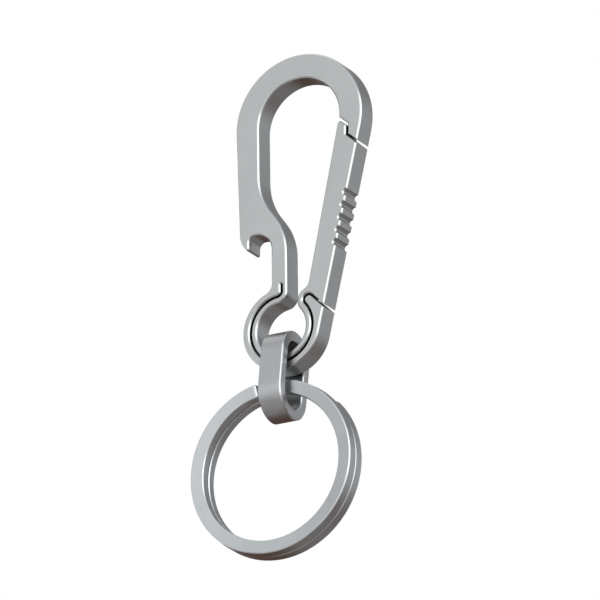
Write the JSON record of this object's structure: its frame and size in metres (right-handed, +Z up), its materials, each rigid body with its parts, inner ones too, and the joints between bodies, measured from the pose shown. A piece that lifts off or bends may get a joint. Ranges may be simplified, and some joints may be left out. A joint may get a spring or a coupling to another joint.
{
  "type": "keychain bottle opener",
  "caption": "Flat titanium key carabiner with a flexing gate and a bottle opener notch, with an oblong connector link and a flat-wire split ring.",
  "frame": {"origin": "centre of the bottom of the whole object's box, below the split ring; the eye's centre is at (0.685, 0.7, 41.5) mm", "axes": "+Z up from the split ring to the top of the hook, +Y through the plate from front to back, +X towards the gate"},
  "size_m": [0.0346, 0.011, 0.0921],
  "materials": {
    "frame_titanium": "bead-blasted titanium with bright chamfers",
    "spring_titanium": "bead-blasted titanium with bright chamfers",
    "gate_titanium": "bead-blasted titanium with bright chamfers",
    "link_titanium": "satin titanium",
    "ring_metal": "satin flat wire"
  },
  "bodies": {
    "frame": {"carabiner_frame": "frame_titanium", "gate_spring": "spring_titanium"},
    "gate": {"gate": "gate_titanium"},
    "link": {"connector_link": "link_titanium"},
    "ring": {"split_ring": "ring_metal"}
  },
  "joints": [
    {"name": "gate_flex", "type": "hinge", "parent": "frame", "child": "gate", "pos_m": [0.00068, 0.0007, 0.0415], "axis": [0, -1, 0], "range_deg": [0, 18], "stiffness_Nm_per_rad": 0.2, "deforming": ["gate_spring"]},
    {"name": "link_slide", "type": "hinge", "parent": "frame", "child": "link", "pos_m": [0.00068, 0.0007, 0.0415], "axis": [0, 1, 0], "range_deg": [-80, 100]},
    {"name": "ring_swing", "type": "hinge", "parent": "link", "child": "ring", "pos_m": [0.0003, -0.00035, 0.03058], "axis": [1, 0, 0], "range_deg": [-100, 100]}
  ]
}
